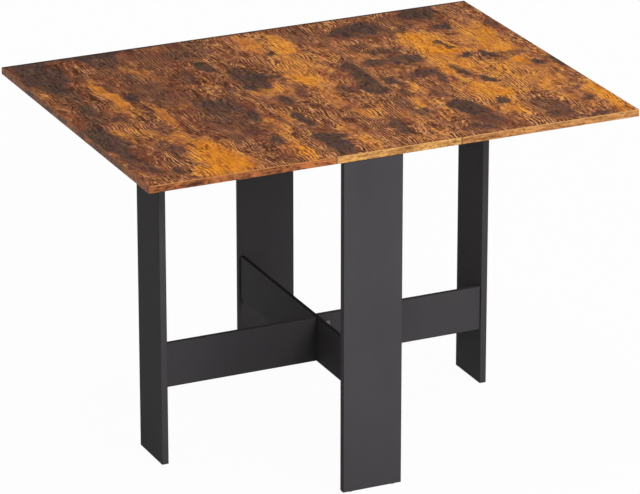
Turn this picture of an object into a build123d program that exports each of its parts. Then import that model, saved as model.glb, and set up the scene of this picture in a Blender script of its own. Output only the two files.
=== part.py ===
# Gateleg table: a fixed centre board on two fixed legs, two drop leaves hinged to it,
# and two gates that swing out under the leaves.
# X runs along the open table, Y from front to rear, Z up; the origin is on the floor
# under the middle of the top. The base looks the same after a half turn about Z, so a
# left-hand or front piece is made with turn = 1 and its twin with turn = -1.
from build123d import *
from collections import namedtuple
import os

os.makedirs("parts", exist_ok=True)

# Top
table_height = 740
board = 15
top_depth = 806
centre_width = 280
leaf_width = 407
seam = 0.8
edging = 1.0
edge_round = 0.6

# Legs and rails
fixed_leg_width = 132
fixed_leg_overhang = 3
gate_leg_width = 117
gate_leg_overhang = 3.5
gate_leg_inset = 1.5
gate_leg_gap = 0.4
rail_board = 9
rail_height = 100
lower_rail_bottom = 128
gate_rail_offset = 6.5
gate_rail_end_gap = 0.4
gate_rail_drop = 15

# Glides under the legs
glide_radius = 6
glide_thickness = 2
glide_nail_radius = 1.0
glide_nail_length = 12
glide_inset = 18

# Butt hinges, all of one size
hinge_length = 65
hinge_width = 25
hinge_plate = 1.5
pin_offset = 3.75
pin_radius = 1.7
pin_head_radius = 2.7
pin_head = 1.0
barrel_radius = 3.5
knuckles = 5
knuckle_gap = 0.3
notch_gap = 0.5
hinge_screw_pitch = 22
hinge_screw_stagger = 6
leaf_hinge_pitch = 260

# Countersunk wood screws
screw_length = 9
screw_radius = 1.5
screw_head_radius = 2.7
screw_recess_length = 3.0
screw_recess_width = 0.6
screw_recess_depth = 0.7

# Dowels
dowel_radius = 2.5
dowel_length = 30
dowel_in_face = 10
dowel_chamfer = 0.8
rail_dowel_spread = 30
leg_dowel_spread = 45

# Cam locks and their bolts
cam_radius = 7.4
cam_depth = 12
cam_reach = 24
cam_slot_depth = 1.6
cam_slot_width = 1.8
cam_slot_length = 9
bolt_thread_radius = 2.9
bolt_thread_length = 10.5
bolt_rod_radius = 2.4
bolt_neck_radius = 1.7
bolt_neck_length = 4
bolt_head_radius = 3.2
bolt_head_length = 3
leg_bolt_spread = 25

# Angle brackets: upper rail to centre board, and both fixed rails to the fixed legs
bracket_side = 25
bracket_width = 16
bracket_plate = 2
bracket_hole = 15
bracket_near = 110
bracket_far = 240

# Clearances
pin_clearance = 0.08
fixing_clearance = 0.1
hole_end_clearance = 0.5

# Heights and places that follow from the sizes above
underside = table_height - board
half_board = board / 2
half_rail = rail_board / 2
half_depth = top_depth / 2
dowel_in_end = dowel_length - dowel_in_face
fixed_leg_inner = half_depth - board
fixed_leg_mid_x = half_rail + fixed_leg_overhang - fixed_leg_width / 2
fixed_leg_mid_y = half_depth - half_board
fixed_leg_height = underside - glide_thickness
gate_leg_height = fixed_leg_height - gate_leg_gap

# The gate rail's hinged face lies beside the pin. Folded, the gate stands along the fixed rail
# with its leg beside the fixed leg and a little inside the top's end.
gate_face_y = half_rail - gate_rail_offset
gate_pin_x = half_rail + pin_offset
gate_pin_y = gate_face_y + pin_offset
gate_leg_outer = half_depth + gate_rail_offset - gate_leg_inset
gate_leg_inner = gate_leg_outer - board
gate_leg_mid_x = gate_leg_outer - half_board
gate_leg_mid_y = gate_face_y + gate_leg_overhang - gate_leg_width / 2
gate_rail_start = half_rail + gate_rail_end_gap
gate_rail_length = gate_leg_inner - gate_rail_start
gate_rail_mid_x = gate_rail_start + gate_rail_length / 2

# Each rail level: fixed rail and gate rail, as middle height and height
lower_mid = lower_rail_bottom + rail_height / 2
upper_mid = underside - rail_height / 2
gate_upper_height = rail_height - gate_rail_drop
gate_upper_mid = underside - rail_height + gate_upper_height / 2
fixed_rail_levels = {"lower": lower_mid, "upper": upper_mid}
gate_rail_levels = {"lower": (lower_mid, rail_height), "upper": (gate_upper_mid, gate_upper_height)}

leaf_pin_x = (centre_width + seam) / 2
leaf_pin_z = underside - pin_offset
leaf_mid_x = centre_width / 2 + seam + leaf_width / 2

front_and_rear = {"front": 1, "rear": -1}
left_and_right = {"left": 1, "right": -1}


def save(builder, name):
    """Label a finished piece and write it under its own name."""
    builder.part.label = name
    export_step(builder.part, f"parts/{name}.step")


def facing(point, direction, x_dir=None):
    """A place at point whose Z axis runs along direction."""
    return Plane(origin=point, x_dir=x_dir, z_dir=direction).location


# Joints where the end of one board meets the face of another. The rails are glued on dowels;
# the fixed legs also have cam locks. Each place's Z axis runs along the board that ends there,
# away from the face.
CamJoint = namedtuple("CamJoint", "dowels bolts cams")


def cam_joint(end, away, across, cam_side, bolt_offsets, dowel_offsets):
    """Dowel, bolt and cam places for a board end, spread along the vector across."""
    end, away, across, cam_side = (Vector(v) for v in (end, away, across, cam_side))
    dowels = [facing(end + across * offset, away) for offset in dowel_offsets]
    bolts = [facing(end + across * offset, away) for offset in bolt_offsets]
    cam_centre = end + away * cam_reach + cam_side * half_board
    cams = [facing(cam_centre + across * offset, cam_side, away * -1) for offset in bolt_offsets]
    return CamJoint(dowels, bolts, cams)


def rail_dowels(end, away):
    """The three dowel places at a rail's end, one above the other."""
    return [facing(Vector(end) + Vector(0, 0, row * rail_dowel_spread), away) for row in (-1, 0, 1)]


fixed_rail_dowels = {
    (level, end): rail_dowels((0, -turn * fixed_leg_inner, mid), (0, turn, 0))
    for level, mid in fixed_rail_levels.items()
    for end, turn in front_and_rear.items()
}
leg_top_joints = {
    end: cam_joint(
        (turn * fixed_leg_mid_x, -turn * fixed_leg_mid_y, underside),
        (0, 0, -1),
        (1, 0, 0),
        (0, turn, 0),
        (-leg_bolt_spread, leg_bolt_spread),
        (-leg_dowel_spread, leg_dowel_spread),
    )
    for end, turn in front_and_rear.items()
}
gate_rail_dowels = {
    (level, side): rail_dowels((-turn * gate_leg_inner, -turn * gate_rail_offset, mid), (turn, 0, 0))
    for level, (mid, height) in gate_rail_levels.items()
    for side, turn in left_and_right.items()
}


def bore_dowels(places, depth):
    """Dowel holes at a list of places."""
    with Locations(*places):
        Hole(dowel_radius + fixing_clearance, depth + hole_end_clearance)


def bore_face(joint):
    """Holes for a cam joint's dowels and bolts in the board whose face it meets."""
    bore_dowels(joint.dowels, dowel_in_face)
    with Locations(*joint.bolts):
        Hole(bolt_thread_radius + fixing_clearance, bolt_thread_length + hole_end_clearance)


def bore_end(joint):
    """Holes for a cam joint's dowels, bolts and cams in the board that ends there."""
    bore_dowels(joint.dowels, dowel_in_end)
    with Locations(*joint.bolts):
        Hole(bolt_head_radius + fixing_clearance, cam_reach + cam_radius)
    with Locations(*joint.cams):
        Hole(cam_radius + fixing_clearance, cam_depth + fixing_clearance)


# Hinge places. A hinge's own Z axis is its pin, a plate's own +X runs out from the pin,
# and its back lies at own +Y against the board. On each gate one plate is fixed to the
# fixed rail and the other to the gate's rail; on each leaf one is under the centre board.
gate_hinge_heights = [mid for mid, height in gate_rail_levels.values()]
leaf_hinge_rows = (-leaf_hinge_pitch, 0, leaf_hinge_pitch)

gate_pins = {
    side: [(-turn * gate_pin_x, turn * gate_pin_y, z) for z in gate_hinge_heights]
    for side, turn in left_and_right.items()
}
leaf_pins = {
    side: [(-turn * leaf_pin_x, y, leaf_pin_z) for y in leaf_hinge_rows]
    for side, turn in left_and_right.items()
}
fixed_plates = {
    side: [facing(pin, (0, 0, -1), (0, turn, 0)) for pin in gate_pins[side]]
    for side, turn in left_and_right.items()
}
gate_plates = {
    side: [facing(pin, (0, 0, 1), (-turn, 0, 0)) for pin in gate_pins[side]]
    for side, turn in left_and_right.items()
}
centre_plates = {
    side: [facing(pin, (0, -turn, 0), (turn, 0, 0)) for pin in leaf_pins[side]]
    for side, turn in left_and_right.items()
}
leaf_plates = {
    side: [facing(pin, (0, turn, 0), (-turn, 0, 0)) for pin in leaf_pins[side]]
    for side, turn in left_and_right.items()
}

# Screw places on a plate, with the head flush in the plate's open face
plate_face = pin_offset - hinge_plate
plate_screw_x = (barrel_radius + notch_gap + hinge_width) / 2
plate_screws = [
    facing((plate_screw_x + stagger, plate_face, row * hinge_screw_pitch), (0, -1, 0))
    for row, stagger in ((-1, hinge_screw_stagger), (0, -hinge_screw_stagger), (1, hinge_screw_stagger))
]


def screws_of(plates):
    """Every screw place of a list of plates."""
    return [plate * screw for plate in plates for screw in plate_screws]


# Bracket places: own -X lies against a fixed rail's side and own +Z against the centre board
# or the fixed leg. They stand in the two quarters that no gate swings through.
top_brackets = [
    facing((-turn * half_rail, -turn * y, underside), (0, 0, 1), (-turn, 0, 0))
    for turn in left_and_right.values()
    for y in (bracket_near, bracket_far)
]
leg_brackets = {
    (level, end): facing(
        (-turn * half_rail, -turn * fixed_leg_inner, mid - rail_dowel_spread / 2),
        (0, -turn, 0),
        (-turn, 0, 0),
    )
    for level, mid in fixed_rail_levels.items()
    for end, turn in front_and_rear.items()
}
bracket_rail_screw = facing((bracket_plate, 0, -bracket_hole), (1, 0, 0))
bracket_board_screw = facing((bracket_hole, 0, -bracket_plate), (0, 0, -1))

# Glide places, at the two ends of each leg's foot
fixed_glide_spread = fixed_leg_width / 2 - glide_inset
gate_glide_spread = gate_leg_width / 2 - glide_inset
fixed_leg_glides = {
    end: [
        Location((turn * fixed_leg_mid_x + offset, -turn * fixed_leg_mid_y, glide_thickness))
        for offset in (-fixed_glide_spread, fixed_glide_spread)
    ]
    for end, turn in front_and_rear.items()
}
gate_leg_glides = {
    side: [
        Location((-turn * gate_leg_mid_x, turn * gate_leg_mid_y + offset, glide_thickness))
        for offset in (-gate_glide_spread, gate_glide_spread)
    ]
    for side, turn in left_and_right.items()
}


def bore_screws(places):
    """Pilot holes under a list of screw places."""
    with Locations(*places):
        Hole(screw_radius + fixing_clearance, screw_length + hole_end_clearance)


def bore_glides(places):
    """Nail holes in a leg's foot."""
    with Locations(*places):
        Hole(glide_nail_radius + fixing_clearance, glide_nail_length + hole_end_clearance)


# Top boards: chipboard cores faced with a rustic print
top_core_depth = top_depth - 2 * edging
top_mid_z = underside + half_board

with BuildPart() as centre_top:
    with Locations((0, 0, top_mid_z)):
        Box(centre_width - 2 * edging, top_core_depth, board)
    for joint in leg_top_joints.values():
        bore_face(joint)
    for side in left_and_right:
        bore_screws(screws_of(centre_plates[side]))
    bore_screws([place * bracket_board_screw for place in top_brackets])
save(centre_top, "centre_top")

for side, turn in left_and_right.items():
    with BuildPart() as leaf:
        with Locations((-turn * leaf_mid_x, 0, top_mid_z)):
            Box(leaf_width - 2 * edging, top_core_depth, board)
        bore_screws(screws_of(leaf_plates[side]))
    save(leaf, f"{side}_leaf")


# Edging: a thin band round the four edges of each top board
def edging_band(mid_x, width):
    """The band round a top board, with its outer corners eased."""
    with Locations((mid_x, 0, top_mid_z)):
        Box(width, top_depth, board)
    fillet(faces().sort_by(Axis.Z)[-1].edges(), edge_round)
    fillet(faces().sort_by(Axis.Z)[0].edges(), edge_round)
    with Locations((mid_x, 0, top_mid_z)):
        Box(width - 2 * edging, top_core_depth, board, mode=Mode.SUBTRACT)


with BuildPart() as centre_edging:
    edging_band(0, centre_width)
save(centre_edging, "centre_top_edging")

for side, turn in left_and_right.items():
    with BuildPart() as leaf_edging:
        edging_band(-turn * leaf_mid_x, leaf_width)
    save(leaf_edging, f"{side}_leaf_edging")

# Fixed legs: one board each, flush with the top's end, reaching a little past the fixed rails' side
for end, turn in front_and_rear.items():
    with BuildPart() as fixed_leg:
        with Locations((turn * fixed_leg_mid_x, -turn * fixed_leg_mid_y, underside - fixed_leg_height / 2)):
            Box(fixed_leg_width, board, fixed_leg_height)
        fillet(fixed_leg.edges().filter_by(Axis.Z), edge_round)
        for level in fixed_rail_levels:
            bore_dowels(fixed_rail_dowels[level, end], dowel_in_face)
            bore_screws([leg_brackets[level, end] * bracket_board_screw])
        bore_end(leg_top_joints[end])
        bore_glides(fixed_leg_glides[end])
    save(fixed_leg, f"{end}_leg")

# Fixed rails: between the fixed legs, low down and under the centre board
for level, mid in fixed_rail_levels.items():
    with BuildPart() as fixed_rail:
        with Locations((0, 0, mid)):
            Box(rail_board, 2 * fixed_leg_inner, rail_height)
        fillet(fixed_rail.edges().filter_by(Axis.Y), edge_round)
        for end in front_and_rear:
            bore_dowels(fixed_rail_dowels[level, end], dowel_in_end)
            bore_screws([leg_brackets[level, end] * bracket_rail_screw])
        for side in left_and_right:
            height_index = list(gate_rail_levels).index(level)
            bore_screws(screws_of([fixed_plates[side][height_index]]))
        if level == "upper":
            bore_screws([place * bracket_rail_screw for place in top_brackets])
    save(fixed_rail, f"fixed_{level}_rail")

# Gates: a leg board on two rails, hinged to the fixed rails
for side, turn in left_and_right.items():
    with BuildPart() as gate_leg:
        foot_to_top = glide_thickness + gate_leg_height / 2
        with Locations((-turn * gate_leg_mid_x, turn * gate_leg_mid_y, foot_to_top)):
            Box(board, gate_leg_width, gate_leg_height)
        fillet(gate_leg.edges().filter_by(Axis.Z), edge_round)
        for level in gate_rail_levels:
            bore_dowels(gate_rail_dowels[level, side], dowel_in_face)
        bore_glides(gate_leg_glides[side])
    save(gate_leg, f"{side}_gate_leg")

    for plate, (level, (mid, height)) in zip(gate_plates[side], gate_rail_levels.items()):
        with BuildPart() as gate_rail:
            with Locations((-turn * gate_rail_mid_x, -turn * gate_rail_offset, mid)):
                Box(gate_rail_length, rail_board, height)
            fillet(gate_rail.edges().filter_by(Axis.X), edge_round)
            bore_dowels(gate_rail_dowels[level, side], dowel_in_end)
            bore_screws(screws_of([plate]))
        save(gate_rail, f"{side}_gate_{level}_rail")

# Butt hinges: folded steel plates with rolled knuckles on a loose pin
knuckle_pitch = hinge_length / knuckles
knuckle_length = knuckle_pitch - knuckle_gap
plate_start = barrel_radius + notch_gap


def hinge_half(own_knuckles):
    """One plate of a hinge with the knuckles that belong to it."""
    with BuildPart() as half:
        with Locations(((plate_start + hinge_width) / 2, pin_offset - hinge_plate / 2, 0)):
            Box(hinge_width - plate_start, hinge_plate, hinge_length)
        fillet(half.edges().filter_by(Axis.Y).group_by(Axis.X)[-1], hinge_plate)
        for knuckle in own_knuckles:
            z = (knuckle + 0.5) * knuckle_pitch - hinge_length / 2
            with Locations((plate_start / 2, pin_offset - hinge_plate / 2, z)):
                Box(plate_start, hinge_plate, knuckle_length)
            with Locations((0, 0, z)):
                Cylinder(barrel_radius, knuckle_length)
        Cylinder(pin_radius + pin_clearance, hinge_length, mode=Mode.SUBTRACT)
        with Locations(*plate_screws):
            CounterSinkHole(
                screw_radius + fixing_clearance,
                screw_head_radius + fixing_clearance,
                2 * hinge_plate,
                counter_sink_angle=90,
            )
    return half.part


outer_half = hinge_half(range(0, knuckles, 2))
inner_half = hinge_half(range(1, knuckles, 2))

with BuildPart() as hinge_pin:
    Cylinder(pin_radius, hinge_length)
    for head_side in (-1, 1):
        with Locations((0, 0, head_side * (hinge_length + pin_head) / 2)):
            Cylinder(pin_head_radius, pin_head)

# Countersunk screw, its head flush at the origin and its point down
with BuildPart() as wood_screw:
    with BuildSketch(Plane.XZ):
        with BuildLine():
            head_depth = screw_head_radius - screw_radius
            Polyline(
                (0, 0),
                (screw_head_radius, 0),
                (screw_radius, -head_depth),
                (screw_radius, screw_radius - screw_length),
                (0, -screw_length),
                close=True,
            )
        make_face()
    revolve(axis=Axis.Z)
    for recess_turn in (0, 90):
        with Locations(Location((0, 0, 0), (0, 0, recess_turn))):
            Box(screw_recess_length, screw_recess_width, 2 * screw_recess_depth, mode=Mode.SUBTRACT)


def group(template, places, name):
    """A node of like pieces, one at each place."""
    with BuildPart() as pieces:
        with Locations(*places):
            add(template)
    save(pieces, name)


both_sides = list(left_and_right)
group(outer_half, fixed_plates["left"] + fixed_plates["right"], "gate_hinge_fixed_plates")
group(hinge_pin.part, fixed_plates["left"] + fixed_plates["right"], "gate_hinge_pins")
group(
    wood_screw.part,
    screws_of(fixed_plates["left"] + fixed_plates["right"]),
    "gate_hinge_fixed_screws",
)
group(outer_half, centre_plates["left"] + centre_plates["right"], "leaf_hinge_centre_plates")
group(hinge_pin.part, centre_plates["left"] + centre_plates["right"], "leaf_hinge_pins")
group(
    wood_screw.part,
    screws_of(centre_plates["left"] + centre_plates["right"]),
    "leaf_hinge_centre_screws",
)
for side in both_sides:
    group(inner_half, gate_plates[side], f"{side}_gate_hinge_plates")
    group(wood_screw.part, screws_of(gate_plates[side]), f"{side}_gate_hinge_screws")
    group(inner_half, leaf_plates[side], f"{side}_leaf_hinge_plates")
    group(wood_screw.part, screws_of(leaf_plates[side]), f"{side}_leaf_hinge_screws")

# Angle brackets and their screws
with BuildPart() as angle_bracket:
    with BuildSketch(Plane.XZ):
        with BuildLine():
            Polyline(
                (0, 0),
                (bracket_side, 0),
                (bracket_side, -bracket_plate),
                (bracket_plate, -bracket_plate),
                (bracket_plate, -bracket_side),
                (0, -bracket_side),
                close=True,
            )
        make_face()
    extrude(amount=bracket_width / 2, both=True)
    with Locations(bracket_rail_screw, bracket_board_screw):
        CounterSinkHole(
            screw_radius + fixing_clearance,
            screw_head_radius + fixing_clearance,
            2 * bracket_plate,
            counter_sink_angle=90,
        )
for name, places in {"top": top_brackets, "leg": list(leg_brackets.values())}.items():
    screws = [place * screw for place in places for screw in (bracket_rail_screw, bracket_board_screw)]
    group(angle_bracket.part, places, f"{name}_brackets")
    group(wood_screw.part, screws, f"{name}_bracket_screws")

# Beech dowel: part in the face board below the origin, the rest in the board above
with BuildPart() as dowel:
    with Locations((0, 0, dowel_length / 2 - dowel_in_face)):
        Cylinder(dowel_radius, dowel_length)
    chamfer(dowel.edges().filter_by(GeomType.CIRCLE), dowel_chamfer)

# Cam bolt: thread in the face board, then rod, neck and head reaching into the cam
with BuildPart() as cam_bolt:
    bolt_tip = cam_reach + bolt_head_length / 2
    neck_top = bolt_tip - bolt_head_length
    rod_top = neck_top - bolt_neck_length
    with BuildSketch(Plane.XZ):
        with BuildLine():
            Polyline(
                (0, -bolt_thread_length),
                (bolt_thread_radius, -bolt_thread_length),
                (bolt_thread_radius, 0),
                (bolt_rod_radius, 0),
                (bolt_rod_radius, rod_top),
                (bolt_neck_radius, rod_top),
                (bolt_neck_radius, neck_top),
                (bolt_head_radius, neck_top),
                (bolt_head_radius, bolt_tip),
                (0, bolt_tip),
                close=True,
            )
        make_face()
    revolve(axis=Axis.Z)

# Cam: a die-cast drum with a side channel that draws in the bolt's head
with BuildPart() as cam:
    with Locations((0, 0, -cam_depth / 2)):
        Cylinder(cam_radius, cam_depth)
    channel = 2 * (bolt_head_radius + fixing_clearance)
    channel_end = -bolt_head_length - fixing_clearance
    with Locations(((cam_radius + channel_end) / 2, 0, -half_board)):
        Box(cam_radius - channel_end, channel, channel, mode=Mode.SUBTRACT)
    for slot_turn in (0, 90):
        with Locations(Location((0, 0, 0), (0, 0, slot_turn))):
            Box(cam_slot_length, cam_slot_width, 2 * cam_slot_depth, mode=Mode.SUBTRACT)


group(dowel.part, sum(fixed_rail_dowels.values(), []), "fixed_rail_dowels")
for side in both_sides:
    places = [place for level in gate_rail_levels for place in gate_rail_dowels[level, side]]
    group(dowel.part, places, f"{side}_gate_dowels")

leg_tops = list(leg_top_joints.values())
group(dowel.part, [place for joint in leg_tops for place in joint.dowels], "leg_top_dowels")
group(cam_bolt.part, [place for joint in leg_tops for place in joint.bolts], "leg_top_cam_bolts")
group(cam.part, [place for joint in leg_tops for place in joint.cams], "leg_top_cam_locks")

# Nail-on glides under the legs
with BuildPart() as glide:
    with Locations((0, 0, -glide_thickness / 2)):
        Cylinder(glide_radius, glide_thickness)
    fillet(glide.edges().sort_by(Axis.Z)[0], glide_thickness / 2)
    with Locations((0, 0, glide_nail_length / 2)):
        Cylinder(glide_nail_radius, glide_nail_length)
group(glide.part, fixed_leg_glides["front"] + fixed_leg_glides["rear"], "fixed_leg_glides")
for side in both_sides:
    group(glide.part, gate_leg_glides[side], f"{side}_gate_glides")
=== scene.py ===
import math

import bpy
import numpy as np
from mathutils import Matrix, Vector


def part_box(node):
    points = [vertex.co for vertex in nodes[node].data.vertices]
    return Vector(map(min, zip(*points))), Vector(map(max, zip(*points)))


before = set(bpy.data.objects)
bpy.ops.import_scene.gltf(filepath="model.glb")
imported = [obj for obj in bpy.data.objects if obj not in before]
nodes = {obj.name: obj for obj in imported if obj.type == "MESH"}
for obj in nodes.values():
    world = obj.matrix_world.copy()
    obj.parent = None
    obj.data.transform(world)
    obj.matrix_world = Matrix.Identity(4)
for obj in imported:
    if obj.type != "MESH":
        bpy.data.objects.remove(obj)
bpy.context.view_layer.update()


# Legs and rails
# Four legs of 15 mm chipboard and six rails of 9 mm fibreboard, faced on all sides with matt charcoal
# melamine paper. The paper and the edge strips meet in a thin dark glue line along every arris, and the
# two fixed rails have painted shade, in black, along their upper and lower edges.

millimetres = 1000.0


def linear(colour):
    """Turns an sRGB hex colour into the linear RGBA that a socket takes."""
    parts = np.array([int(colour[i : i + 2], 16) for i in (1, 3, 5)]) / 255
    lit = np.where(parts <= 0.04045, parts / 12.92, ((parts + 0.055) / 1.055) ** 2.4)
    return (*lit.tolist(), 1.0)


def live(value):
    """A node stands for its first live output; a socket or a number stays as it is."""
    if isinstance(value, bpy.types.Node):
        return next(socket for socket in value.outputs if socket.enabled)
    return value


def add(tree, kind, *inputs, **settings):
    """Adds a shader node, sets its properties, and fills its live sockets in order with values or links."""
    made = tree.nodes.new("ShaderNode" + kind)
    for name, value in settings.items():
        setattr(made, name, value)
    for socket, value in zip([s for s in made.inputs if s.enabled], map(live, inputs)):
        if isinstance(value, bpy.types.NodeSocket):
            tree.links.new(value, socket)
        elif value is not None:
            socket.default_value = value
    return made


def new_finish(name, **constants):
    """A material with its node tree, its shader and the object's coordinates in millimetres.

    The constants are values of the shader's sockets, which are named with underscores for spaces.
    """
    made = bpy.data.materials.new(name)
    made.use_nodes = True
    tree = made.node_tree
    shader = tree.nodes["Principled BSDF"]
    for socket, value in constants.items():
        shader.inputs[socket.replace("_", " ")].default_value = value
    place = add(tree, "TexCoord").outputs["Object"]
    place = add(tree, "VectorMath", place, (millimetres,) * 3, operation="MULTIPLY")
    return made, tree, shader, place


def lumps(*sizes):
    """The scale along each axis that gives a pattern lumps of these sizes in millimetres."""
    return tuple(1 / size for size in sizes)


def wire(tree, shader, **links):
    """Links nodes to the shader's sockets, which are named as for new_finish."""
    for socket, value in links.items():
        tree.links.new(live(value), shader.inputs[socket.replace("_", " ")])


def dress(names, finish):
    """Puts a finish on CAD nodes' own material slots."""
    for name in names:
        for slot in nodes[name].material_slots:
            slot.material = finish


charcoal_dark = "#434143"
charcoal_pale = "#4c4a4c"
charcoal_gloss = 0.02
charcoal_roughness = (0.56, 0.68)
cloud_size = (150, 150, 320)

# Drawn coarser than real pearl, so that it shows
pearl_size = 1.6
pearl_share = 0.6
pearl_depth = 0.0001
pearl_relief = 0.12

# Each dark line is full and gone at two distances from its arris or edge; the glue line wanders a little
glue_and_shade_black = "#1c191b"
glue_wander = 11.0
glue_full, glue_gone = 0.8, 1.6
glue_strength = 0.6
# The fixed rails get painted shade in black along their upper and lower edges
rails_with_painted_shade = ("fixed_lower_rail", "fixed_upper_rail")
rail_shade_full, rail_shade_gone = 0.2, 0.4
rail_shade_strength = 0.75


def charcoal_melamine(node):
    """Matt resin on dark paper: an even charcoal with a faint pearl texture and a dark line at each arris.

    A point's distance to the nearest arris is the middle one of its distances to the three pairs of faces.
    """
    finish, tree, shader, place = new_finish("charcoal_melamine_" + node, Specular_IOR_Level=charcoal_gloss)
    low, high = (np.array(corner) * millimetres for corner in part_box(node))
    offset = add(tree, "VectorMath", place, tuple((low + high) / 2), operation="SUBTRACT")
    offset = add(tree, "VectorMath", offset, operation="ABSOLUTE")
    depth = add(tree, "VectorMath", tuple((high - low) / 2), offset, operation="SUBTRACT")
    x, y, z = add(tree, "SeparateXYZ", depth).outputs
    nearer = add(tree, "Math", x, y, operation="MINIMUM")
    further = add(tree, "Math", x, y, operation="MAXIMUM")
    arris = add(tree, "Math", further, z, operation="MINIMUM")
    arris = add(tree, "Math", nearer, arris, operation="MAXIMUM")
    uneven = add(tree, "TexNoise", place, 1 / glue_wander)
    arris = add(tree, "Math", arris, uneven, operation="ADD")

    # A range is given as its start and end, and then the values that it has there
    glue_and_shade = add(tree, "MapRange", arris, glue_gone, glue_full, 0.0, glue_strength)
    # Painted shade: black along the fixed rails' upper and lower edges
    if node in rails_with_painted_shade:
        band = add(tree, "MapRange", z, rail_shade_gone, rail_shade_full, 0.0, rail_shade_strength)
        glue_and_shade = add(tree, "Math", glue_and_shade, band, operation="MAXIMUM")
    drawn = add(tree, "VectorMath", place, lumps(*cloud_size), operation="MULTIPLY")
    cloud = add(tree, "TexNoise", drawn, 1.0, 3.0)
    pearl = add(tree, "TexNoise", place, 1 / pearl_size)
    tone = add(tree, "Math", pearl, pearl_share, cloud, operation="MULTIPLY_ADD")
    tone = add(tree, "MapRange", tone, 0.5, 1.1, 0.0, 1.0)
    paper = add(tree, "Mix", tone, linear(charcoal_dark), linear(charcoal_pale), data_type="RGBA")
    # The dark glue line, and on the fixed rails the painted shade, in the same black
    faced = add(tree, "Mix", glue_and_shade, paper, linear(glue_and_shade_black), data_type="RGBA")
    dull = add(tree, "MapRange", cloud, 0.3, 0.7, *charcoal_roughness)
    dimples = add(tree, "Bump", pearl_relief, pearl_depth, None, pearl)
    wire(tree, shader, Base_Color=faced, Roughness=dull, Normal=dimples)
    return finish


for name in nodes:
    if name.endswith(("_leg", "_rail")):
        dress([name], charcoal_melamine(name))


# Dowels
# Turned beech pegs, glued half in the rail and half in the leg or top, so they show only when it is apart.
# The grain runs along each peg.

beech_pale = "#dcc097"
beech_dark = "#b98f5f"
beech_roughness = 0.6
beech_gloss = 0.3

# Drawn larger than real ray flecks, so that they show from close up
ray_fleck_width = 0.7
ray_fleck_length = 14.0
ray_fleck_depth = 0.0002
ray_fleck_relief = 0.3


def turned_beech(axis):
    """Pale close-grained wood with short darker ray flecks along the peg's axis."""
    finish, tree, shader, place = new_finish(
        "beech_along_" + axis, Roughness=beech_roughness, Specular_IOR_Level=beech_gloss
    )
    fleck_size = [ray_fleck_length if letter == axis else ray_fleck_width for letter in "xyz"]
    drawn = add(tree, "VectorMath", place, lumps(*fleck_size), operation="MULTIPLY")
    fleck = add(tree, "TexNoise", drawn, 1.0, 3.0, 0.6)
    tone = add(tree, "MapRange", fleck, 0.35, 0.7, 0.0, 1.0)
    wood = add(tree, "Mix", tone, linear(beech_pale), linear(beech_dark), data_type="RGBA")
    grooves = add(tree, "Bump", ray_fleck_relief, ray_fleck_depth, None, fleck)
    wire(tree, shader, Base_Color=wood, Normal=grooves)
    return finish


dress(["fixed_rail_dowels"], turned_beech("y"))
dress(["leg_top_dowels"], turned_beech("z"))
dress(["left_gate_dowels", "right_gate_dowels"], turned_beech("x"))


# Cam fittings
# Cam locks are die-cast zinc discs that turn in the tops of the fixed legs. Each pulls in the head of a
# plated steel bolt in the centre board. Castings are dull and slightly pitted.

zinc_pale = "#a9abad"
zinc_dark = "#7f8285"
zinc_roughness = (0.38, 0.58)

# Drawn coarser than real casting pits, so that they show from close up
pit_size = 0.7
pit_depth = 0.0002
pit_relief = 0.25
cast_bloom = 6.0


def cast_zinc():
    """Dull grey metal with a cast skin."""
    finish, tree, shader, place = new_finish("cast_zinc", Metallic=1.0)
    pits = add(tree, "TexNoise", place, 1 / pit_size, 3.0)
    bloom = add(tree, "TexNoise", place, 1 / cast_bloom, 3.0)
    skin = add(tree, "Mix", bloom, linear(zinc_dark), linear(zinc_pale), data_type="RGBA")
    dull = add(tree, "MapRange", bloom, 0.3, 0.7, *zinc_roughness)
    dents = add(tree, "Bump", pit_relief, pit_depth, None, pits)
    wire(tree, shader, Base_Color=skin, Roughness=dull, Normal=dents)
    return finish


dress([name for name in nodes if name.endswith("_cam_locks")], cast_zinc())


# Hinges, brackets and screws
# Pressed from steel strip or cold headed from wire, then zinc plated: black on the hinges, the brackets and
# their screws, bright on the cam bolts. Rolling lines run along the strip.

plate_bloom = 9.0

# Drawn coarser than real rolling lines, so that they show from close up
rolling_line = 0.5
rolling_length = 25.0
rolling_depth = 0.0001
rolling_relief = 0.1


def plated_steel(name, cool, warm, shine, dull):
    """Thin plating: clouded reflections, a bloom between a cool and a warm tint, faint rolling lines."""
    finish, tree, shader, place = new_finish(name, Metallic=1.0)
    bloom = add(tree, "TexNoise", place, 1 / plate_bloom, 3.0)
    drawn = lumps(rolling_line, rolling_length, rolling_line)
    drawn = add(tree, "VectorMath", place, drawn, operation="MULTIPLY")
    lines = add(tree, "TexNoise", drawn, 1.0)
    plating = add(tree, "Mix", bloom, linear(cool), linear(warm), data_type="RGBA")
    worn = add(tree, "MapRange", lines, 0.3, 0.7, shine, dull)
    ridges = add(tree, "Bump", rolling_relief, rolling_depth, None, lines)
    wire(tree, shader, Base_Color=plating, Roughness=worn, Normal=ridges)
    return finish


black_zinc = plated_steel("black_zinc_plating", "#6b6a6c", "#716d69", 0.38, 0.55)
bright_zinc = plated_steel("bright_zinc_plating", "#bfc4c9", "#cbc5b4", 0.22, 0.4)
for name in nodes:
    if "hinge" in name or "bracket" in name:
        dress([name], black_zinc)
    elif name.endswith("_bolts"):
        dress([name], bright_zinc)


# Table top
# Three chipboard boards faced with printed paper: old planks with the grain from front to rear, worn to
# gold in places and smoked dark in others. Each board is cut from another part of the print, and a dark
# line of painted shade runs along its rear edge.

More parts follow.
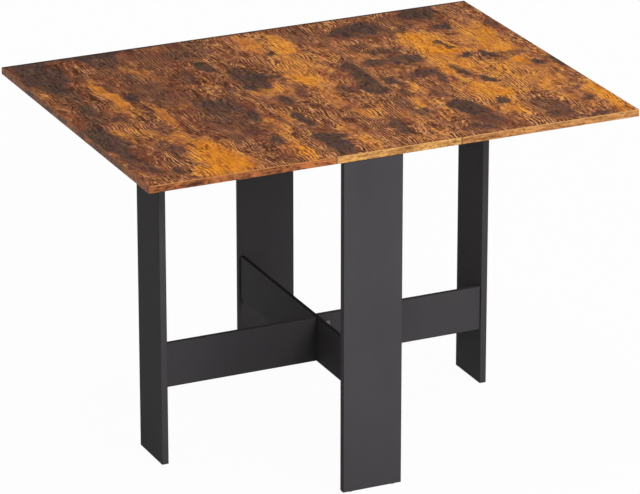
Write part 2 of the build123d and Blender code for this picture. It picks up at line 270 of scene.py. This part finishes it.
plain_tones = ("#45220f", "#5c2f18", "#784228", "#91593a", "#aa7049", "#c48653", "#d69d64")
gold_tones = ("#45220f", "#5f3214", "#80461c", "#9c591f", "#b56b26", "#cb7f2e", "#de953c")
ash_and_shade_dark = "#2a1c19"
ash_pale = "#583f35"
wood_red = "#94492f"
amber_tint = "#ffefa0"
yellow_cast = "#b7bfac"
plum_cast = "#b8bbcd"
print_gloss = 0.05
print_roughness = (0.62, 0.5)
emboss_depth = 0.0002
emboss_relief = 0.25
knot_bend = 16.0
quick_sway_share = 0.2
zebra_spacing = 7.0
zebra_length = 4 * zebra_spacing
zebra_wander = 3.5
zebra_strength = 0.65
gold_lift = 0.45
gold_calm = 0.75
smoke_calm = 0.7
speck_strength = 0.45
fleck_strength = 0.12
rust_strength = 0.3
broad_gilt = 0.7
fine_gilt = 0.4
scratch_haze = 0.7
smoke_strength = 0.92
pore_shade = 0.75
# Width and strength of the painted shade along each board's rear edge
rear_shade_width = 9.0
rear_shade_strength = 0.9
plank_depth = 300.0

# The shares of its size at which an oval is full and at which it has faded away
gold_fade = (0.45, 1.55)
smoke_fade = (0.65, 1.35)

# The size of each sway's lumps, and how far it pushes the print, across and along the grain
sways = (((80, 150), (50, 95)), ((22, 45), (38, 75)), ((6, 12), (16, 28)))

# Shares of the marks that shade the wood
broad_marks = {"mottle": 1.6, "lines": 0.45}
fine_marks = {"scratch": 2.45, "grain": 1.4}

# The scale at which a wave texture has one wave for each unit of its coordinates
wave_period = math.tau / 20


def spots(tree, place, ovals, full, gone):
    """Adds up soft ovals: each is full up to one share of its size and fades away at another.

    An oval is its centre x and y, its half width and half length in millimetres, and its strength.
    """
    total = 0.0
    for x, y, across, along, strength in ovals:
        oval = add(
            tree,
            "VectorMath",
            place,
            (1 / across, 1 / along, 0),
            (-x / across, -y / along, 0),
            operation="MULTIPLY_ADD",
        )
        reach = add(tree, "VectorMath", oval, operation="LENGTH")
        spot = add(tree, "MapRange", reach, gone, full, 0.0, strength, interpolation_type="SMOOTHSTEP")
        total = add(tree, "Math", total, spot, operation="ADD")
    return total


def rustic_print(board, plank, ground, smoked, golden):
    """Satin printed paper, lightly embossed: brown wood under soft smoke, gold wear, fine grain and pores.

    Ovals of smoke and gold are pushed out of shape by slow and quick noise. Grain is noise drawn out along
    y that sways gently, on coordinates that also shift sideways with the smoke, so that it bends round a
    knot. Here and there it gathers into evenly spaced pale lines, like the growth rings of a sawn plank.
    Each plank takes its fine marks from another depth of the noise, so they break off at the seams.
    """
    finish, tree, shader, place = new_finish("rustic_print_" + board, Specular_IOR_Level=print_gloss)
    swayed = [place]
    for size, push in sways:
        sway = add(tree, "VectorMath", place, lumps(*size, size[0]), operation="MULTIPLY")
        sway = add(tree, "TexNoise", sway, 1.0).outputs["Color"]
        sway = add(tree, "VectorMath", sway, (0.5,) * 3, operation="SUBTRACT")
        swayed.append(add(tree, "VectorMath", sway, (*push, 0), swayed[-1], operation="MULTIPLY_ADD"))
    slow, quick, pushed = swayed[1:]
    gold = spots(tree, pushed, golden, *gold_fade)
    smoke = spots(tree, pushed, smoked, *smoke_fade)
    bend = add(tree, "CombineXYZ", add(tree, "Math", smoke, knot_bend, operation="MULTIPLY"))
    flow = add(tree, "Mix", quick_sway_share, slow, quick, data_type="VECTOR")
    flow = add(tree, "VectorMath", flow, bend, operation="ADD")
    fibre = add(tree, "VectorMath", flow, (0, 0, plank * plank_depth), operation="ADD")

    # Each pattern: its coordinates, its size across and along the grain, its detail and roughness
    patterns = {
        "mottle": (flow, (24, 40), 5.0, 0.7),
        "scratch": (fibre, (4.2, 12), 3.0, 0.7),
        "grain": (fibre, (3.6, 55), 2.0, 0.6),
        "lines": (fibre, (9, 240), 2.0, 0.6),
        "pores": (fibre, (1.2, 15), 1.0, 0.5),
        "specks": (place, (4.5, 8), 2.0, 0.6),
        "sawn": (place, (75, 120), 2.0, 0.5),
        "worn": (place, (45, 90), 2.0, 0.5),
        "rust": (place, (60, 140), 3.0, 0.5),
        "haze": (pushed, (30, 70), 5.0, 0.6),
        "cast": (fibre, (20, 30), 3.0, 0.7),
    }
    drawn = {}
    for pattern, (base, (across, along), detail, roughness) in patterns.items():
        base = add(tree, "VectorMath", base, lumps(across, along, across), operation="MULTIPLY")
        drawn[pattern] = add(tree, "TexNoise", base, 1.0, detail, roughness)
    rings = add(tree, "VectorMath", fibre, lumps(zebra_spacing, zebra_length, 1), operation="MULTIPLY")
    rings = add(tree, "TexWave", rings, wave_period, zebra_wander, 1.0, 1.0)
    sawn = add(tree, "MapRange", drawn["sawn"], 0.48, 0.58, 0.0, zebra_strength)
    rings = add(tree, "Math", rings, 0.5, operation="SUBTRACT")
    rings = add(tree, "Math", rings, sawn, operation="MULTIPLY")

    # Broad and fine marks about a mean of zero; the fine ones are plain in places and faint in others
    for scale, shares in (("broad", broad_marks), ("fine", fine_marks)):
        total = -sum(shares.values()) / 2
        for pattern, share in shares.items():
            total = add(tree, "Math", drawn[pattern], share, total, operation="MULTIPLY_ADD")
        drawn[scale] = total
    worn = add(tree, "MapRange", drawn["worn"], 0.38, 0.6, 0.35, 1.5)
    tone = add(tree, "Math", drawn["broad"], rings, operation="ADD")
    tone = add(tree, "Math", drawn["fine"], worn, tone, operation="MULTIPLY_ADD")
    calm = add(tree, "MapRange", gold, 0.3, 1.1, 1.0, gold_calm)
    still = add(tree, "MapRange", smoke, 0.05, 0.45, 1.0, smoke_calm)
    calm = add(tree, "Math", calm, still, operation="MULTIPLY")
    tone = add(tree, "Math", tone, calm, ground, operation="MULTIPLY_ADD")
    tone = add(tree, "Math", gold, gold_lift, tone, operation="MULTIPLY_ADD")
    speck = add(tree, "MapRange", drawn["specks"], 0.6, 0.74, 0.0, speck_strength)
    tone = add(tree, "Math", tone, speck, operation="SUBTRACT")
    fleck = add(tree, "MapRange", drawn["specks"], 0.38, 0.28, 0.0, fleck_strength)
    tone = add(tree, "Math", tone, fleck, operation="ADD")

    # The tone picks a colour from a plain ramp and a gold one, which the gold patches mix
    ramps = []
    for tones in (plain_tones, gold_tones):
        ramp = add(tree, "ValToRGB", tone)
        steps = ramp.color_ramp.elements
        while len(steps) < len(tones):
            steps.new(0.5)
        for number, colour in enumerate(tones):
            steps[number].position = number / (len(tones) - 1)
            steps[number].color = linear(colour)
        ramps.append(ramp)
    gilt = add(tree, "Math", drawn["broad"], broad_gilt, gold, operation="MULTIPLY_ADD")
    gilt = add(tree, "Math", drawn["fine"], fine_gilt, gilt, operation="MULTIPLY_ADD")
    gilt = add(tree, "MapRange", gilt, 0.05, 0.85, 0.0, 1.0)
    wood = add(tree, "Mix", gilt, *ramps, data_type="RGBA")
    rust = add(tree, "MapRange", drawn["rust"], 0.5, 0.7, 0.0, rust_strength)
    wood = add(tree, "Mix", rust, wood, linear(wood_red), data_type="RGBA")
    amber = add(tree, "MapRange", gold, 0.8, 1.2, 0.0, 1.0)
    wood = add(tree, "Mix", amber, wood, linear(amber_tint), data_type="RGBA", blend_type="MULTIPLY")

    # Smoke lies over the wood, with the fine marks still in it, and then painted shade along the rear edge
    haze = add(tree, "Math", drawn["haze"], smoke, operation="ADD")
    haze = add(tree, "Math", drawn["scratch"], scratch_haze, haze, operation="MULTIPLY_ADD")
    dark = add(tree, "MapRange", haze, 1.06, 1.8, 0.0, smoke_strength)
    ash = add(tree, "MapRange", drawn["fine"], -0.35, 0.35, 0.0, 1.0)
    ash = add(tree, "Mix", ash, linear(ash_and_shade_dark), linear(ash_pale), data_type="RGBA")
    wood = add(tree, "Mix", dark, wood, ash, data_type="RGBA")
    # Painted shade: a dark line along the board's rear edge, in the smoke's darkest colour
    rear = float(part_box(board)[1].y) * millimetres
    rear_shade = add(tree, "SeparateXYZ", place).outputs["Y"]
    rear_shade = add(tree, "MapRange", rear_shade, rear - rear_shade_width, rear - rear_shade_width / 2, 0.0, rear_shade_strength)
    wood = add(tree, "Mix", rear_shade, wood, linear(ash_and_shade_dark), data_type="RGBA")

    # A faint cast of yellow or plum over all, open pores, and the emboss of the grain
    cast = add(tree, "MapRange", drawn["cast"], 0.4, 0.6, 0.0, 1.0)
    cast = add(tree, "Mix", cast, linear(yellow_cast), linear(plum_cast), data_type="RGBA")
    wood = add(tree, "Mix", 1.0, wood, cast, data_type="RGBA", blend_type="SOFT_LIGHT")
    pore = add(tree, "MapRange", drawn["pores"], 0.6, 0.72, 1.0, pore_shade)
    wood = add(tree, "VectorMath", wood, pore, operation="SCALE")
    dull = add(tree, "MapRange", drawn["grain"], 0.3, 0.7, *print_roughness)
    emboss = add(tree, "Math", drawn["grain"], pore, operation="MULTIPLY")
    emboss = add(tree, "Bump", emboss_relief, emboss_depth, None, emboss)
    wire(tree, shader, Base_Color=wood, Roughness=dull, Normal=emboss)
    return finish


# The patches of smoke and gold on each board, in the same frame as the table
centre_smoked = [
    (-105, 120, 30, 85, 0.95),
    (-70, 118, 28, 26, 0.8),
    (-135, 350, 25, 70, 0.5),
    (115, 340, 40, 70, 0.45),
    (120, 70, 24, 70, 0.85),
    (107, -45, 24, 60, 0.95),
    (60, -30, 22, 22, 0.6),
    (-37, -5, 14, 30, 0.6),
    (-87, -38, 18, 40, 1.0),
    (-102, -165, 14, 38, 0.95),
    (-107, -275, 28, 34, 1.0),
    (-108, -365, 26, 50, 0.95),
    (-104, -318, 28, 36, 0.5),
    (54, -280, 18, 70, 0.75),
    (39, -142, 10, 14, 0.9),
    (0, 250, 12, 24, 0.8),
    (126, -160, 16, 34, 0.5),
    (96, 30, 14, 24, 0.45),
    (-64, -89, 14, 20, 0.4),
    (-118, -207, 16, 22, 0.45),
    (-80, -266, 12, 22, 0.5),
    (134, -220, 14, 30, 0.7),
    (0, -178, 14, 22, 0.5),
    (17, -282, 16, 36, 0.45),
    (-97, 380, 24, 24, 0.5),
    (-128, 55, 18, 20, 0.5),
]
centre_golden = [
    (-8, 330, 26, 62, 0.8),
    (55, 300, 25, 70, 0.8),
    (25, 125, 40, 130, 0.65),
    (-8, 50, 26, 50, 0.65),
    (-64, 7, 18, 24, 0.5),
    (-118, 14, 16, 20, 0.5),
    (-86, 50, 26, 24, 0.9),
    (0, -60, 26, 60, 0.5),
    (30, -170, 18, 40, 0.7),
    (-45, -340, 20, 70, 0.6),
    (-130, -137, 18, 34, 0.85),
    (-46, -240, 14, 22, 0.5),
    (62, -155, 14, 30, 0.5),
    (75, -375, 24, 24, 0.5),
    (98, -212, 18, 26, 0.45),
    (112, -262, 18, 26, 0.5),
    (124, -336, 18, 24, 0.4),
    (100, 190, 30, 60, 0.35),
]
dress(["centre_top"], rustic_print("centre_top", 0, 0.41, centre_smoked, centre_golden))

left_smoked = [
    (-495, 300, 45, 110, 0.75),
    (-530, 370, 36, 50, 0.25),
    (-340, 370, 40, 50, 0.6),
    (-165, 340, 35, 60, 0.6),
    (-322, 140, 30, 110, 0.4),
    (-162, 215, 14, 40, 0.85),
    (-490, 45, 30, 70, 0.55),
    (-518, -125, 36, 100, 0.95),
    (-235, -100, 58, 130, 0.56),
    (-200, -10, 22, 40, 0.4),
    (-185, -115, 20, 40, 0.5),
    (-212, -268, 20, 30, 0.9),
    (-386, -105, 14, 40, 0.4),
    (-373, 100, 16, 30, 0.85),
    (-428, -186, 22, 22, 0.65),
    (-450, -15, 18, 25, 0.55),
    (-255, -290, 24, 24, 0.4),
    (-285, -215, 16, 40, 0.45),
    (-220, 178, 20, 36, 0.45),
    (-158, 56, 16, 22, 0.5),
    (-355, 303, 26, 36, 0.2),
    (-415, -232, 14, 34, 0.75),
    (-502, -312, 10, 40, 0.7),
    (-456, -337, 8, 22, 0.9),
    (-445, -351, 12, 24, 0.5),
    (-370, 395, 170, 26, 0.6),
    (-344, 150, 203, 260, 0.22),
    (-485, 180, 25, 55, 0.4),
    (-262, 40, 40, 55, 0.3),
    (-520, -262, 24, 60, 0.6),
    (-250, 320, 60, 60, 0.25),
]
left_golden = [
    (-412, 140, 15, 115, 0.9),
    (-355, -40, 10, 90, 0.8),
    (-387, -156, 28, 45, 0.6),
    (-354, -324, 50, 114, 1.2),
    (-394, -2, 14, 20, 0.5),
    (-190, 130, 16, 30, 0.4),
    (-415, -385, 26, 45, 0.9),
    (-322, -372, 24, 30, 0.5),
    (-285, -345, 14, 22, 0.4),
    (-365, -226, 24, 30, 0.4),
    (-480, -112, 30, 60, 0.5),
    (-430, -100, 16, 60, 0.35),
    (-180, -350, 16, 60, 0.8),
    (-175, -200, 22, 100, 0.5),
    (-530, 190, 20, 60, 0.3),
    (-300, 220, 22, 50, 0.55),
    (-328, 265, 18, 24, 0.4),
    (-306, 30, 16, 26, 0.35),
    (-200, -320, 18, 30, 0.5),
    (-430, 60, 14, 40, 0.4),
]
dress(["left_leaf"], rustic_print("left_leaf", 1, 0.35, left_smoked, left_golden))

right_smoked = [
    (243, 315, 60, 46, 0.95),
    (410, 372, 44, 36, 0.7),
    (420, 263, 20, 24, 1.25),
    (255, 92, 40, 34, 0.95),
    (172, 90, 24, 28, 0.95),
    (198, 86, 20, 22, 0.8),
    (193, 213, 22, 24, 0.6),
    (157, -34, 22, 28, 1.0),
    (243, -5, 28, 26, 0.85),
    (272, -45, 14, 40, 0.8),
    (153, -107, 12, 16, 0.75),
    (218, -140, 16, 40, 0.6),
    (147, -215, 14, 28, 0.95),
    (229, -233, 35, 36, 1.15),
    (262, -262, 20, 20, 0.7),
    (236, -328, 44, 60, 0.65),
    (372, 150, 10, 28, 1.0),
    (375, 62, 14, 14, 1.3),
    (420, 54, 17, 34, 1.25),
    (478, 48, 34, 16, 0.7),
    (440, 0, 14, 30, 0.6),
    (334, -26, 14, 45, 0.85),
    (358, -92, 12, 22, 1.25),
    (494, -42, 11, 34, 1.0),
    (545, -35, 10, 40, 1.0),
    (530, -12, 14, 18, 0.6),
    (178, 322, 20, 30, 0.5),
    (543, 240, 10, 50, 0.8),
    (317, -227, 12, 22, 1.25),
    (395, -318, 40, 62, 0.6),
    (487, -286, 14, 22, 0.8),
    (450, -388, 60, 14, 0.75),
    (370, 340, 80, 50, 0.45),
    (316, 272, 34, 24, 0.6),
    (234, 160, 42, 28, 0.75),
    (150, -300, 16, 30, 0.4),
    (190, -369, 28, 28, 0.55),
    (362, -360, 18, 26, 0.4),
    (501, 287, 20, 26, 0.35),
    (496, 378, 24, 20, 0.35),
    (446, 69, 14, 18, 0.4),
    (152, 291, 14, 26, 0.45),
    (183, -19, 14, 20, 0.4),
    (487, -208, 14, 20, 0.4),
]
right_golden = [
    (350, 178, 50, 75, 0.9),
    (470, 130, 40, 115, 0.9),
    (330, 60, 40, 80, 0.7),
    (388, -20, 46, 60, 0.55),
    (309, -40, 16, 42, 0.85),
    (480, -18, 22, 30, 0.9),
    (420, 120, 18, 30, 0.5),
    (319, -158, 51, 63, 0.85),
    (440, -110, 60, 90, 0.5),
    (488, -165, 22, 30, 0.4),
    (452, -195, 22, 28, 0.35),
    (520, -85, 16, 30, 0.5),
    (475, -322, 16, 26, 0.5),
    (531, -308, 21, 112, 0.95),
    (525, 30, 16, 25, 0.5),
    (190, -82, 14, 42, 0.7),
    (207, 44, 12, 14, 0.4),
    (166, -175, 20, 30, 0.8),
    (178, 145, 20, 22, 0.5),
    (180, -255, 16, 26, 0.5),
    (396, 94, 20, 20, 0.7),
    (289, 197, 16, 26, 0.45),
    (312, -300, 14, 40, 0.6),
    (332, -270, 22, 45, 0.5),
    (362, -205, 36, 28, 0.5),
    (450, -265, 22, 30, 0.5),
    (502, 225, 18, 50, 0.5),
    (508, -243, 14, 24, 0.6),
    (318, 226, 22, 22, 0.5),
    (415, 181, 16, 24, 0.4),
    (291, -255, 14, 24, 0.5),
    (454, 277, 14, 22, 0.45),
    (370, 102, 16, 22, 0.4),
    (296, -366, 18, 24, 0.35),
    (201, -202, 14, 18, 0.35),
]
dress(["right_leaf"], rustic_print("right_leaf", 2, 0.415, right_smoked, right_golden))


# Edge bands
# One millimetre printed strip, ironed round each board and trimmed flush. Its cut edge is a pale line along
# the front, partly the cut itself and partly a painted highlight; painted shade dulls it at the left and
# makes it dark at the right and rear. In the seams the strip is plain brown.
# The print on it is streaky and differs from board to board.

band_roughness = 0.5
band_gloss = 0.15
streak_depth = 0.0002
streak_relief = 0.2
tone_low, tone_high = 0.72, 1.22
knot_strength = 0.8
# The pale cut edge, partly a painted highlight along the front arris
trim_width = 1.8
trim_strength = 0.8
# Painted shade that darkens the cut edge at the left, right and rear
shade_full, shade_gone = 1.5, 2.5
left_shade_strength = 0.6
seam_place = 140.4
seam_full, seam_gone = 2.0, 3.0
seam_brown = "#9b6a45"

# Each pattern: its size along x, y and z, its detail and roughness
band_patterns = {
    "streak": ((60, 60, 5), 3.0, 0.6),
    "speck": ((13, 13, 7), 3.0, 0.6),
    "drift": ((75, 75, 60), 2.0, 0.5),
    "knot": ((11, 11, 5), 3.0, 0.6),
}


def printed_band(board, dark, mid, cut, uneven):
    """Satin plastic strip with streaks along the board's edge and dark specks.

    The cut edge is the strip's top by height, a pale line that is partly a painted highlight, and painted
    shade turns it dark within a short way of the left, right and rear edges.
    """
    finish, tree, shader, place = new_finish(
        "printed_band_" + board, Roughness=band_roughness, Specular_IOR_Level=band_gloss
    )
    drawn = {}
    for pattern, (size, detail, roughness) in band_patterns.items():
        base = add(tree, "VectorMath", place, lumps(*size), operation="MULTIPLY")
        drawn[pattern] = add(tree, "TexNoise", base, 1.0, detail, roughness)
    tone = add(tree, "Math", drawn["speck"], drawn["streak"], operation="ADD")
    tone = add(tree, "Math", drawn["drift"], uneven, tone, operation="MULTIPLY_ADD")
    tone = add(tree, "MapRange", tone, tone_low + uneven / 2, tone_high + uneven / 2, 0.0, 1.0)
    band = add(tree, "Mix", tone, linear(dark), linear(mid), data_type="RGBA")
    knot = add(tree, "MapRange", drawn["knot"], 0.54, 0.66, 0.0, knot_strength)
    band = add(tree, "Mix", knot, band, linear(dark), data_type="RGBA")

    low, high = (np.array(corner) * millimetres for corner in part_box(board + "_edging"))
    x, y, height = add(tree, "SeparateXYZ", place).outputs
    top = high[2]
    trimmed = add(tree, "MapRange", height, top - trim_width, top - trim_width / 3, 0.0, trim_strength)
    # The cut colour is partly a painted highlight; painted shade turns it dark near the left, right and
    # rear edges
    trim_highlight_and_shade = linear(cut)
    shaded_edges = ((x, low[0], 1, left_shade_strength), (x, high[0], -1, 1.0), (y, high[1], -1, 1.0))
    for across, edge, inward, strength in shaded_edges:
        gone, full = edge + inward * shade_gone, edge + inward * shade_full
        edge_shade = add(tree, "MapRange", across, gone, full, 0.0, strength)
        trim_highlight_and_shade = add(tree, "Mix", edge_shade, trim_highlight_and_shade, linear(dark), data_type="RGBA")

    seam = add(tree, "Math", x, operation="ABSOLUTE")
    seam = add(tree, "Math", seam, seam_place, operation="SUBTRACT")
    seam = add(tree, "Math", seam, operation="ABSOLUTE")
    outer = add(tree, "MapRange", seam, seam_full, seam_gone, 0.0, 1.0)
    trimmed = add(tree, "Math", trimmed, outer, operation="MULTIPLY")
    band = add(tree, "Mix", outer, linear(seam_brown), band, data_type="RGBA")
    band = add(tree, "Mix", trimmed, band, trim_highlight_and_shade, data_type="RGBA")
    ridges = add(tree, "Bump", streak_relief, streak_depth, None, drawn["streak"])
    wire(tree, shader, Base_Color=band, Normal=ridges)
    return finish


dress(["left_leaf_edging"], printed_band("left_leaf", "#4a2718", "#b96f3e", "#c98848", 1.1))
dress(["centre_top_edging"], printed_band("centre_top", "#80512b", "#dba35b", "#d3a25f", 0.8))
dress(["right_leaf_edging"], printed_band("right_leaf", "#794925", "#cb8f54", "#cb9a5e", 0.8))


# Glides
# Black plastic discs nailed under each leg so that it slides on the floor.
# Moulded with a fine spark texture.

plastic_black = "#1c1c1d"
plastic_worn = "#343434"
plastic_roughness = 0.45
plastic_gloss = 0.4

# Drawn coarser than a real spark texture, so that it shows from close up
spark_grain = 0.5
spark_depth = 0.0001
spark_relief = 0.2
scuff_size = 5.0


def moulded_plastic():
    """Satin black plastic, a little scuffed."""
    finish, tree, shader, place = new_finish(
        "moulded_black_plastic", Roughness=plastic_roughness, Specular_IOR_Level=plastic_gloss
    )
    grit = add(tree, "TexNoise", place, 1 / spark_grain)
    scuff = add(tree, "TexNoise", place, 1 / scuff_size, 4.0, 0.7)
    scuff = add(tree, "MapRange", scuff, 0.5, 0.75, 0.0, 1.0)
    skin = add(tree, "Mix", scuff, linear(plastic_black), linear(plastic_worn), data_type="RGBA")
    sparks = add(tree, "Bump", spark_relief, spark_depth, None, grit)
    wire(tree, shader, Base_Color=skin, Normal=sparks)
    return finish


dress([name for name in nodes if name.endswith("_glides")], moulded_plastic())


# Floor and background
# A plain pale floor that fades to the white of the background. The camera sees it nearly white, with a
# faint share of its own shading, so the table has its shadow. From below it is clear.

floor_half = 14.0
floor_pale = "#cfcfcf"
floor_roughness = 0.9
floor_white_near = 0.97
white_start = 1200.0
white_full = 6000.0

floor_mesh = bpy.data.meshes.new("floor")
corners = np.array([(-1, -1, 0), (1, -1, 0), (1, 1, 0), (-1, 1, 0)]) * floor_half
floor_mesh.from_pydata(corners.tolist(), [], [(0, 1, 2, 3)])
floor = bpy.data.objects.new("floor", floor_mesh)
bpy.context.scene.collection.objects.link(floor)

floor_finish, tree, shader, place = new_finish(
    "pale_floor", Roughness=floor_roughness, Specular_IOR_Level=0.0
)
shader.inputs["Base Color"].default_value = linear(floor_pale)
rays = add(tree, "LightPath").outputs
seen = add(tree, "Math", rays["Is Camera Ray"], rays["Is Glossy Ray"], operation="MAXIMUM")
seen = add(tree, "Math", seen, rays["Is Transmission Ray"], operation="MAXIMUM")
away = add(tree, "VectorMath", place, operation="LENGTH")
white = add(tree, "MapRange", away, white_start, white_full, floor_white_near, 1.0)
white = add(tree, "Math", white, seen, operation="MULTIPLY")
glow = add(tree, "Emission", (1, 1, 1, 1), 1.0)
lit = add(tree, "MixShader", white, shader, glow)
below = add(tree, "NewGeometry").outputs["Backfacing"]
lit = add(tree, "MixShader", below, lit, add(tree, "BsdfTransparent"))
tree.links.new(live(lit), tree.nodes["Material Output"].inputs["Surface"])
floor_mesh.materials.append(floor_finish)

# The world is white up to just above the horizon and dim overhead
wall_top = math.sin(math.radians(8))
ceiling_start = math.sin(math.radians(17))
ambient = 0.16

world = bpy.data.worlds.new("studio")
world.use_nodes = True
tree = world.node_tree
height = add(tree, "SeparateXYZ", add(tree, "TexCoord").outputs["Generated"]).outputs["Z"]
level = add(tree, "MapRange", height, wall_top, ceiling_start, 1.0, ambient)
tree.links.new(live(level), tree.nodes["Background"].inputs["Strength"])
tree.nodes["Background"].inputs["Color"].default_value = (1, 1, 1, 1)
bpy.context.scene.world = world


# Studio lights
# A wide soft box raised in front lights the legs and rails, and a square one overhead lights the top.
# Neither shows in the picture. Each has its place and size in metres, and its power in watts.

soft_boxes = {
    "front_soft_box": ((0.5, -4.0, 2.45), (3.0, 1.8), 136.0),
    "top_soft_box": ((0.3, 0.3, 3.6), (3.0, 3.0), 77.0),
}
light_aim = Vector((0.0, 0.0, 0.45))
for name, (spot, size, watts) in soft_boxes.items():
    lamp = bpy.data.lights.new(name, "AREA")
    lamp.shape = "RECTANGLE"
    lamp.size, lamp.size_y = size
    lamp.energy = watts
    box = bpy.data.objects.new(name, lamp)
    box.location = spot
    box.rotation_mode = "QUATERNION"
    box.rotation_quaternion = (light_aim - Vector(spot)).to_track_quat("-Z", "Y")
    box.visible_camera = False
    bpy.context.scene.collection.objects.link(box)


# Camera
# Far back with a long lens, to the left of the front and above the top. The lens is given as its focal
# length in pixels of the picture's width.

picture_width = 640
camera_azimuth = math.radians(24.85)
camera_pitch = math.radians(21.06)
camera_distance = 9.3044
camera_aim = Vector((0.0096, 0.0007, 0.3822))
lens_pixels = 4388
sensor_width = 36.0

forward = Vector(
    (
        math.sin(camera_azimuth) * math.cos(camera_pitch),
        math.cos(camera_azimuth) * math.cos(camera_pitch),
        -math.sin(camera_pitch),
    )
)
lens = bpy.data.cameras.new("camera")
lens.sensor_fit = "HORIZONTAL"
lens.sensor_width = sensor_width
lens.lens = lens_pixels * sensor_width / picture_width
lens.clip_end = 100.0
camera = bpy.data.objects.new("camera", lens)
camera.location = camera_aim - forward * camera_distance
camera.rotation_mode = "QUATERNION"
camera.rotation_quaternion = forward.to_track_quat("-Z", "Y")
bpy.context.scene.collection.objects.link(camera)
bpy.context.scene.camera = camera
bpy.context.scene.view_settings.view_transform = "Standard"
